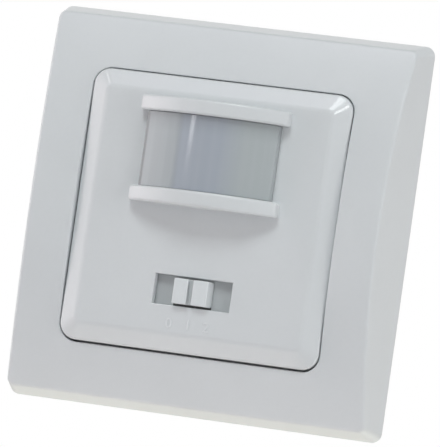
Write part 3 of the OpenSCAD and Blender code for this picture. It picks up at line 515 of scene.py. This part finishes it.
def makeCoverFrame(sizes):
    # The rings run over the face, down the opening and back along the inside to the wall.
    bm = bmesh.new()
    arched, behind = sizes["face"], sizes["behind"]
    rings = sizes["outer"] + arched + sizes["opening"] + behind + sizes["inner"]
    loops = growRings(bm, rings, closed=True, cuts=sizes["cuts"])
    first, last = 1, len(arched) + 1
    for ring, (width, radius, dip) in zip(loops[first:], arched):
        bendRing(ring, sizes, 0.0, dip, edge=ring is loops[first])
    for ring, (width, radius, dip) in zip(loops[last + 2:], behind):
        bendRing(ring, sizes, sizes["wall"], dip, edge=ring is loops[last + 1 + len(behind)])
    for v in loops[last - 1] + loops[last]:
        v.co.z -= sizes["play"] * mm * (v.co.z < 0)  # the cover sits high in its opening
    soften(bm, ringEdges(loops[first]), sizes["outerSoft"], steps=5)
    soften(bm, ringEdges(loops[last - 1]), sizes["openingSoft"])
    soften(bm, ringEdges(loops[0]), sizes["wallSoft"], steps=2)
    web = bmesh.new()
    growRings(web, sizes["web"], closed=True)
    absorb(bm, web)
    absorb(bm, cornerRing(sizes["collar"], sizes["notch"]))
    absorb(bm, cornerRing(sizes["ledge"], sizes["notch"]))
    addRibs(bm, sizes)
    makePiece(bm, "coverFrame", finishes["white_cover"], "base", ["cover_frame"])


def addRibs(bm, sizes):
    # The front ends of the ribs follow the arched face.
    low, high, sunk = (sizes["rib"][key] for key in ("low", "high", "sunk"))
    before = set(bm.verts)
    for side in (-1, 1):
        z0, z1 = sorted((side * low[2], side * high[2]))
        start = set(bm.verts)
        addBlock(bm, (low[0], low[1], z0), (high[0], high[1], z1), sizes["rib"]["soft"])
        fourSides(bm, [v for v in bm.verts if v not in start])
    for v in bm.verts:
        if v not in before:
            depth = archDepth(sizes, v.co.z / mm, sunk)
            part = (v.co.y / mm - high[1]) / (low[1] - high[1])
            v.co.y = (high[1] - part * (depth + high[1])) * mm


makeCoverFrame(frameSizes)


# Front cover: bevelled shell with the lens window and the slider slot, two visor bars in front,
# and rails, posts and hooks behind.

coverSizes = {
    "shell": [(48.2, 1.3, -11.5), (55.2, 3.5, -10.0), (55.2, 3.5, -4.0), (52.0, 1.9, -4.0),
              (52.0, 1.9, -8.4), (46.6, 1.2, -9.9)],
    "edgeSoft": 0.45, "faceSoft": 0.6, "slotSoft": 0.22,
    "face": -11.5, "back": -9.9, "sunk": 0.2,
    "window": (14.0, 4.65, 19.85), "slot": (8.2, -18.3, -12.3),
    "bar": {"radius": 27.149, "centre": 8.649, "half": 15.7, "root": -10.7, "thick": 3.1,
            "low": (1.55, 19.85), "soft": 0.55, "segments": 224},
    "rail": {"half": 16.9, "high": 4.2, "thick": 1.0, "back": -8.3},
    "post": {"x": 17.25, "z": (3.6, 20.9), "width": 1.6, "back": -7.78},
    "hook": {"x": 12.0, "half": 3.5, "front": -6.0, "back": -1.35, "inner": 24.9, "outer": 26.0,
             "rootBack": -4.2, "rootOver": 0.2, "stemFront": -4.6,
             "nose": 24.3, "noseFront": -2.25, "noseOver": 0.4},
}


def openFaces(bm, y, hole):
    half, low, high = (v * mm for v in hole)
    cuts = [((half, 0, 0), (1, 0, 0)), ((-half, 0, 0), (1, 0, 0)),
            ((0, 0, low), (0, 0, 1)), ((0, 0, high), (0, 0, 1))]
    for point, normal in cuts:
        level = [f for f in bm.faces if all(abs(v.co.y - y * mm) < tiny for v in f.verts)]
        geom = unique(part for f in level for part in (f, *f.edges, *f.verts))
        bmesh.ops.bisect_plane(bm, geom=geom, plane_co=point, plane_no=normal)
    inside = []
    for f in bm.faces:
        c = f.calc_center_median()
        if abs(c.y - y * mm) < tiny and abs(c.x) < half and low < c.z < high:
            inside.append(f)
    rim = unique(e for f in inside for e in f.edges)
    bmesh.ops.delete(bm, geom=inside, context="FACES")
    return [e for e in rim if e.is_valid and e.is_boundary]


def makeShell(bm, sizes):
    loops = growRings(bm, sizes["shell"])
    for ring in (loops[0], loops[-1]):
        bmesh.ops.contextual_create(bm, geom=ringEdges(ring))
    soften(bm, ringEdges(loops[1]), sizes["edgeSoft"], steps=4)
    soften(bm, ringEdges(loops[0]), sizes["faceSoft"], steps=4)
    slotRim = []
    for hole in ("window", "slot"):
        front = openFaces(bm, sizes["face"], sizes[hole])
        back = openFaces(bm, sizes["back"], sizes[hole])
        bmesh.ops.bridge_loops(bm, edges=front + back)
        if hole == "slot":
            slotRim = front
    soften(bm, slotRim, sizes["slotSoft"])


def addVisorBar(bm, bar, low):
    disc = bmesh.ops.create_circle(bm, cap_ends=True, segments=bar["segments"], radius=bar["radius"] * mm,
                                   matrix=Matrix.Translation(Vector((0, bar["centre"], low)) * mm))
    verts = disc["verts"]
    cuts = [((0, bar["root"], 0), (0, 1, 0)), ((bar["half"], 0, 0), (1, 0, 0)),
            ((-bar["half"], 0, 0), (-1, 0, 0))]
    for point, normal in cuts:
        geom = unique(part for v in verts for part in (v, *v.link_edges, *v.link_faces))
        cut = bmesh.ops.bisect_plane(bm, geom=geom, plane_co=Vector(point) * mm,
                                     plane_no=normal, clear_outer=True)
        verts = unique(v for g in cut["geom"] if g.is_valid and isinstance(g, bmesh.types.BMFace)
                       for v in g.verts)
    face = verts[0].link_faces[0]
    raised = bmesh.ops.extrude_face_region(bm, geom=[face])["geom"]
    lifted = [g for g in raised if isinstance(g, bmesh.types.BMVert)]
    bmesh.ops.translate(bm, verts=lifted, vec=(0, 0, bar["thick"] * mm))
    soften(bm, sharpEdges(edgesOf(verts + lifted)), bar["soft"], steps=4)


def addRails(bm, sizes):
    rail, front = sizes["rail"], sizes["back"] - sizes["sunk"]
    middle = (sizes["slot"][1] + sizes["slot"][2]) / 2
    reach = rail["high"] + rail["thick"]
    across = rail["half"] + rail["thick"] / 2
    for side in (-1, 1):
        x0, x1 = sorted((side * rail["half"], side * (rail["half"] + rail["thick"])))
        addBlock(bm, (x0, front, middle - reach), (x1, rail["back"], middle + reach))
        z0, z1 = sorted((middle + side * rail["high"], middle + side * reach))
        addBlock(bm, (-across, front, z0), (across, rail["back"], z1))


def addPosts(bm, sizes):
    post = sizes["post"]
    for x in (-post["x"], post["x"]):
        for z in post["z"]:
            addRod(bm, x, z, post["width"], sizes["back"] - sizes["sunk"], post["back"])


def addHooks(bm, hook):
    # Each hook has a root in the rim, a stem and a nose.
    parts = [(hook["inner"], hook["outer"] + hook["rootOver"], hook["front"], hook["rootBack"]),
             (hook["inner"], hook["outer"], hook["stemFront"], hook["back"]),
             (hook["nose"], hook["inner"] + hook["noseOver"], hook["noseFront"], hook["back"])]
    for side in (-1, 1):
        for x in (-hook["x"], hook["x"]):
            for near, far, front, back in parts:
                z0, z1 = sorted((side * near, side * far))
                addBlock(bm, (x - hook["half"], front, z0), (x + hook["half"], back, z1))


def makeFrontCover(sizes):
    bm = bmesh.new()
    makeShell(bm, sizes)
    for low in sizes["bar"]["low"]:
        bar = bmesh.new()
        addVisorBar(bar, sizes["bar"], low)
        absorb(bm, bar)
    addRails(bm, sizes)
    addPosts(bm, sizes)
    addHooks(bm, sizes["hook"])
    makePiece(bm, "frontCover", finishes["white_cover"], "base", ["front_cover"])


makeFrontCover(coverSizes)


# Lens: one sheet spun round the bars' axis, with straight legs and flanges, then thickened and ridged.

lensSizes = {"radius": 25.949, "centre": 8.649, "half": 13.96, "low": 4.75, "high": 19.75,
             "flange": -9.84, "flangeWidth": 2.2, "thick": 0.8, "steps": 112, "ridge": 0.07,
             "near": 0.2}


def makeLens(sizes):
    bm = bmesh.new()
    turn = math.asin(sizes["half"] / sizes["radius"])
    start = Vector((-sizes["half"], sizes["centre"] - sizes["radius"] * math.cos(turn), 0))
    ends = [bm.verts.new((start + Vector((0, 0, z))) * mm) for z in (sizes["low"], sizes["high"])]
    first = bm.edges.new(ends)
    spun = bmesh.ops.spin(bm, geom=ends + [first], cent=Vector((0, sizes["centre"], 0)) * mm,
                          axis=(0, 0, 1), angle=2 * turn, steps=sizes["steps"])
    last = [g for g in spun["geom_last"] if isinstance(g, bmesh.types.BMEdge)][0]
    for edge, side in ((first, -1), (last, 1)):
        leg = Vector((0, sizes["flange"] - start.y, 0))
        flange = Vector((side * sizes["flangeWidth"], 0, 0))
        for move in (leg, flange):
            grown = bmesh.ops.extrude_edge_only(bm, edges=[edge])["geom"]
            verts = [g for g in grown if isinstance(g, bmesh.types.BMVert)]
            bmesh.ops.translate(bm, verts=verts, vec=move * mm)
            edge = [g for g in grown if isinstance(g, bmesh.types.BMEdge)
                    and all(v in verts for v in g.verts)][0]
    bmesh.ops.remove_doubles(bm, verts=bm.verts, dist=tiny)
    bmesh.ops.recalc_face_normals(bm, faces=bm.faces)
    front = min(bm.faces, key=lambda f: f.calc_center_median().y)
    if front.normal.y > 0:
        bmesh.ops.reverse_faces(bm, faces=bm.faces)
    outer = set(bm.verts)
    bmesh.ops.solidify(bm, geom=bm.faces[:], thickness=sizes["thick"] * mm)
    inner = [v for v in bm.verts if v not in outer]
    return bm, inner


def ridgeLens(inner, sizes):
    # Every second row of the inner face moves out, apart from the legs and flanges.
    inside = sizes["radius"] - sizes["thick"]
    step = 2 * math.asin(sizes["half"] / sizes["radius"]) / sizes["steps"]
    for v in inner:
        spoke = Vector((v.co.x, v.co.y - sizes["centre"] * mm, 0))
        if abs(spoke.length - inside * mm) < sizes["near"] * mm:
            if round(math.atan2(spoke.x, -spoke.y) / step) % 2:
                v.co += spoke.normalized() * sizes["ridge"] * mm


lensMesh, lensInside = makeLens(lensSizes)
ridgeLens(lensInside, lensSizes)
makePiece(lensMesh, "lens", finishes["lens_film"], "base", ["fresnel_lens"])


# Mode slider: a drafted knob with a finger groove on a shutter that closes the slot.

sliderSizes = {
    "profile": [(-3.9, -9.5), (-3.6, -12.95), (-0.66, -12.95), (-0.56, -11.95),
                (0.28, -11.95), (0.48, -12.95), (3.66, -12.95), (3.9, -9.5)],
    "middle": -15.3, "half": 2.55, "soft": 0.24, "colour": tint(223, 228, 230),
    "shutter": {"low": (-12.7, -9.75, -19.3), "high": (12.7, -8.85, -11.3)},
    # Painted shade in the knob's groove and on the slot's floor, and a painted shadow along the knob's foot.
    "paintedShade": {
        "fade": 0.1,
        "groove": {"depth": (-12.9, -12.4), "within": [("X", 0.7, -0.1)], "share": 0.7},
        "floor": {"depth": (-10.4, -9.8), "within": [], "share": 0.66},
        "foot": {"depth": (-10.4, -9.8), "within": [("X", 4.1, -0.2), ("Z", 0.8, -18.4)], "share": 0.06},
    },
}


def makeSlider(sizes):
    bm = bmesh.new()
    low = sizes["middle"] - sizes["half"]
    corners = [bm.verts.new(Vector((x, y, low)) * mm) for x, y in sizes["profile"]]
    face = bm.faces.new(corners)
    raised = bmesh.ops.extrude_face_region(bm, geom=[face])["geom"]
    lifted = [g for g in raised if isinstance(g, bmesh.types.BMVert)]
    bmesh.ops.translate(bm, verts=lifted, vec=(0, 0, 2 * sizes["half"] * mm))
    soften(bm, sharpEdges(bm.edges), sizes["soft"], steps=4)
    addBlock(bm, sizes["shutter"]["low"], sizes["shutter"]["high"])
    white = mouldedPlastic("sliderWhite", sizes["colour"], **satin, paintedShade=sizes["paintedShade"])
    makePiece(bm, "modeSlider", white, "slider", ["mode_slider"])


makeSlider(sliderSizes)


# Marks under the slot: plain raised numbers, one for each place of the slider, in a lighter white that is a
# painted highlight.

markSizes = {"numbers": [("0", -4.05), ("1", 0.0), ("2", 3.85)], "height": 2.8, "raise": 0.14,
             "low": -22.8, "face": -11.5, "colour": tint(228, 231, 233)}


def addNumber(bm, text, x, sizes):
    curve = bpy.data.curves.new("number", "FONT")
    curve.body = text
    curve.size = sizes["height"] * mm
    curve.extrude = sizes["raise"] * mm
    curve.align_x = "CENTER"
    holder = bpy.data.objects.new("number", curve)
    bpy.context.scene.collection.objects.link(holder)
    bpy.context.view_layer.update()
    mesh = bpy.data.meshes.new_from_object(holder.evaluated_get(bpy.context.evaluated_depsgraph_get()))
    mesh.transform(Matrix.Translation(Vector((x, sizes["face"], sizes["low"])) * mm)
                   @ Matrix.Rotation(math.radians(90), 4, "X"))
    bm.from_mesh(mesh)
    bpy.data.objects.remove(holder)
    bpy.data.curves.remove(curve)
    bpy.data.meshes.remove(mesh)


def makeMarks(sizes):
    bm = bmesh.new()
    for text, x in sizes["numbers"]:
        addNumber(bm, text, x, sizes)
    bmesh.ops.remove_doubles(bm, verts=bm.verts, dist=tiny)
    # The lighter white of the numbers is a painted highlight.
    paintedHighlight = mouldedPlastic("paintedHighlightWhite", sizes["colour"], **satin)
    makePiece(bm, "modeMarks", paintedHighlight, "base")


makeMarks(markSizes)


# Rear pieces: merged copies of the solids with their edges broken.

rearSizes = {
    "merge": 0.012, "flat": 1.0, "steps": 2,
    # Node: name, width of the broken edges, and the shortest edge that is broken
    "pieces": {"support_plate": ("supportPlate", 0.1, 0.0), "rear_housing": ("rearHousing", 0.2, 5.0),
               "claw_left": ("clawLeft", 0.12, 0.0), "claw_right": ("clawRight", 0.12, 0.0),
               "terminal_block": ("terminalBlock", 0.08, 0.0)},
}
slotOf = {part["node"]: part["material_slot"] for part in frame["record"]["subparts"]}
bodyOf = {node: body for body, nodes in frame["record"]["behaviour"]["bodies"].items() for node in nodes}


def softCopy(node, width, shortest=0.0):
    # With a shortest length given, only long outer edges are broken, at their full width.
    bm = bmesh.new()
    bm.from_mesh(frame["nodes"][node].data)
    bmesh.ops.remove_doubles(bm, verts=bm.verts, dist=rearSizes["merge"] * mm)
    bmesh.ops.dissolve_limit(bm, angle_limit=math.radians(rearSizes["flat"]), verts=bm.verts,
                             edges=bm.edges)
    bm.normal_update()
    edges = sharpEdges(bm.edges)
    if shortest:
        edges = [e for e in edges if e.is_convex and e.calc_length() > shortest * mm]
    soften(bm, edges, width, rearSizes["steps"], clamp=not shortest)
    return bm


def dressRear(bm, node, name):
    makePiece(bm, name, finishes[slotOf[node]], bodyOf[node], [node], outward=False)


for node, (name, width, shortest) in rearSizes["pieces"].items():
    dressRear(softCopy(node, width, shortest), node, name)


# Claw screws: the solid with its slotted head, and a thread wound round the shank.

threadSizes = {"root": 1.55, "crest": 1.86, "pitch": 0.7, "flank": 0.42, "start": 3.0, "turns": 28,
               "steps": 20, "soft": 0.1}
joints = {joint["name"]: joint for joint in frame["joints"]}


def addThread(bm, sizes, joint):
    low, pitch, flank = sizes["start"], sizes["pitch"], sizes["flank"]
    outline = [(sizes["root"], -flank), (sizes["crest"], 0.0), (sizes["root"], flank)]
    verts = [bm.verts.new(Vector((r, 0, low + h * pitch)) * mm) for r, h in outline]
    edges = [bm.edges.new((verts[i], verts[(i + 1) % 3])) for i in range(3)]
    bmesh.ops.spin(bm, geom=verts + edges, cent=(0, 0, 0), axis=(0, 0, 1),
                   dvec=Vector((0, 0, pitch / sizes["steps"])) * mm,
                   angle=2 * math.pi * sizes["turns"], steps=sizes["turns"] * sizes["steps"])
    bmesh.ops.holes_fill(bm, edges=[e for e in bm.edges if e.is_boundary], sides=3)
    bmesh.ops.recalc_face_normals(bm, faces=bm.faces)
    lean = math.atan2(-joint["axis"][0], joint["axis"][1])  # the screw's axis is its joint's
    place = (Matrix.Translation(joint["pos_m"]) @ Matrix.Rotation(lean, 4, "Z")
             @ Matrix.Rotation(math.radians(-90), 4, "X"))
    bmesh.ops.transform(bm, matrix=place, verts=bm.verts)


for word in ("left", "right"):
    thread = bmesh.new()
    addThread(thread, threadSizes, joints["claw_" + word + "_turn"])
    screw = softCopy("claw_screw_" + word, threadSizes["soft"])
    absorb(screw, thread)
    dressRear(screw, "claw_screw_" + word, "clawScrew" + word.capitalize())


# Every solid gets its finish. The ones that a piece stands for are hidden.

for node, solid in frame["nodes"].items():
    solid.data.materials.clear()
    solid.data.materials.append(finishes[slotOf[node]])
print("solids dressed:", len(frame["nodes"]))


# Camera, light and floor

cameraView = {"yaw": -19.1855, "pitch": -2.4148, "roll": 8.0996, "distance": 1.20717,
              "slide": (0.2471, -0.3003), "focal": 5988.0, "imageHeight": 447, "sensor": 36.0, "clip": 20}


def placeCamera(view):
    flip = Matrix(((1, 0, 0), (0, 0, -1), (0, 1, 0)))
    turn = (Matrix.Rotation(math.radians(view["roll"]), 3, "Z") @ flip
            @ Matrix.Rotation(math.radians(view["pitch"]), 3, "X")
            @ Matrix.Rotation(math.radians(view["yaw"]), 3, "Z"))
    shift = Vector((view["slide"][0] * mm, view["slide"][1] * mm, view["distance"]))
    right, down, ahead = turn
    pose = Matrix((right, -down, -ahead)).transposed().to_4x4()
    pose.translation = -(turn.transposed() @ shift)
    data = bpy.data.cameras.new("photoCamera")
    data.sensor_fit = "VERTICAL"
    data.sensor_height = view["sensor"]
    data.lens = view["focal"] / view["imageHeight"] * view["sensor"]
    data.clip_end = view["clip"]
    camera = bpy.data.objects.new("photoCamera", data)
    camera.matrix_world = pose
    bpy.context.scene.collection.objects.link(camera)
    bpy.context.scene.camera = camera


placeCamera(cameraView)


lampSizes = {
    "key": {"at": (-0.02, -0.53, 0.59), "to": (0, 0, 0), "power": 2.66, "size": (0.3, 0.3),
            "colour": (0.935, 0.98, 0.985), "mirrored": True, "diffuse": True},
    "left": {"at": (-0.7, -0.14, 0.08), "to": (0, 0, 0), "power": 1.97, "size": (0.4, 0.4),
             "colour": (1.0, 0.87, 0.88), "mirrored": False, "diffuse": True},
    "right": {"at": (0.7, -0.25, 0.1), "to": (0, 0, 0), "power": 1.9, "size": (0.5, 0.5),
              "colour": (1.0, 0.98, 0.965), "mirrored": False, "diffuse": True},
    "back": {"at": (0.2, 0.75, 0.12), "to": (0, 0, 0), "power": 2.2, "size": (0.5, 0.5),
             "colour": (1.0, 0.97, 0.92), "mirrored": False, "diffuse": True},
    "table": {"at": (0.0, -0.02, -0.155), "to": (0, -0.02, 0), "power": 0.066, "size": (0.24, 0.16),
              "colour": (1.0, 0.82, 0.92), "mirrored": False, "diffuse": True},
    "tableBack": {"at": (0.0, 0.035, -0.155), "to": (0, 0.035, 0), "power": 0.17, "size": (0.2, 0.07),
                  "colour": (0.96, 1.0, 0.66), "mirrored": False, "diffuse": True},
    "tableFront": {"at": (-0.05, -0.103, -0.133), "to": (0, -0.0107, -0.026), "power": 0.013,
                   "size": (0.12, 0.05), "colour": (1.0, 1.0, 1.0), "mirrored": True, "diffuse": False},
    "strip": {"at": (-0.262, -0.426, 0.0458), "to": (0, -0.0165, 0.0458), "power": 0.0075,
              "size": (0.034, 0.0085), "colour": (1.0, 1.0, 1.0), "mirrored": True, "diffuse": False},
    "glint": {"at": (0.248, -0.708, 0.348), "to": (0.024, -0.011, 0.024), "power": 0.5,
              "size": (0.09, 0.09), "colour": (1.0, 1.0, 1.0), "mirrored": True, "diffuse": False},
    "spark": {"at": (-0.494, -0.466, 0.484), "to": (-0.024, -0.011, 0.024), "power": 0.14,
              "size": (0.06, 0.06), "colour": (1.0, 1.0, 1.0), "mirrored": True, "diffuse": False},
    "softbox": {"at": (-0.46, -0.195, 0.03), "to": (0, 0, 0.012), "power": 0.77, "size": (0.39, 0.5),
                "colour": (1.0, 0.96, 0.985), "mirrored": True, "diffuse": False},
    "ceiling": {"at": (-0.22, -0.43, 0.53), "to": (0, 0, 0.025), "power": 0.245, "size": (0.3, 0.3),
                "colour": (0.94, 0.8, 1.0), "mirrored": True, "diffuse": False},
}


def placeLamps(lamps):
    for name, lamp in lamps.items():
        data = bpy.data.lights.new(name, "AREA")
        data.energy = lamp["power"]
        data.shape = "RECTANGLE"
        data.size, data.size_y = lamp["size"]
        data.color = lamp["colour"]
        holder = bpy.data.objects.new(name, data)
        holder.location = lamp["at"]
        ahead = Vector(lamp["to"]) - Vector(lamp["at"])
        holder.rotation_euler = ahead.to_track_quat("-Z", "Y").to_euler()
        holder.visible_camera = False
        holder.visible_glossy = lamp["mirrored"]
        holder.visible_diffuse = lamp["diffuse"]
        bpy.context.scene.collection.objects.link(holder)


placeLamps(lampSizes)


roomLook = {"low": (0.056, 0.057, 0.052), "high": (0.33, 0.339, 0.369), "lean": (0.607, 0.0, -0.795),
            "seen": (1, 1, 1)}
floorLook = {"colour": tint(238, 238, 238), "height": -0.16, "size": 1.6, "rough": 0.8, "cloud": 6,
             "cloudShade": 0.98}


def makeRoom(look):
    # The camera and reflections see white, and the object gets a soft light that leans to one side.
    world = bpy.data.worlds.new("studio")
    bpy.context.scene.world = world
    world.use_nodes = True
    tree = world.node_tree
    backdrop = tree.nodes["Background"]
    path = tree.nodes.new("ShaderNodeLightPath")
    seen = Wire(tree, path.outputs["Is Camera Ray"])
    for name in ("Is Glossy Ray", "Is Transmission Ray"):
        seen = seen.math("MAXIMUM", seen, Wire(tree, path.outputs[name]))
    ahead = Wire(tree, tree.nodes.new("ShaderNodeTexCoord").outputs["Object"])
    lean = ahead.put("ShaderNodeVectorMath", {"operation": "DOT_PRODUCT"}, {0: ahead, 1: look["lean"]}, 1)
    soft = (lean * 0.5 + 0.5).blend(look["low"], look["high"])
    tree.links.new(seen.blend(soft, look["seen"]).socket, backdrop.inputs["Color"])
    backdrop.inputs["Strength"].default_value = 1.0


def makeFloor(look):
    bm = bmesh.new()
    bmesh.ops.create_grid(bm, x_segments=1, y_segments=1, size=look["size"],
                          matrix=Matrix.Translation((0, 0, look["height"])))
    mesh = bpy.data.meshes.new("floor")
    bm.to_mesh(mesh)
    bm.free()
    material, shader, at = newFinish("paleFloor", {"Roughness": look["rough"]})
    cloud = at.noise(look["cloud"], detail=2)
    feed(shader, colour=cloud.blend(shade(look["colour"], look["cloudShade"]), look["colour"]))
    mesh.materials.append(material)
    floor = bpy.data.objects.new("floor", mesh)
    bpy.context.scene.collection.objects.link(floor)


makeRoom(roomLook)
makeFloor(floorLook)
bpy.context.scene.view_settings.view_transform = "Standard"
print("stage set")
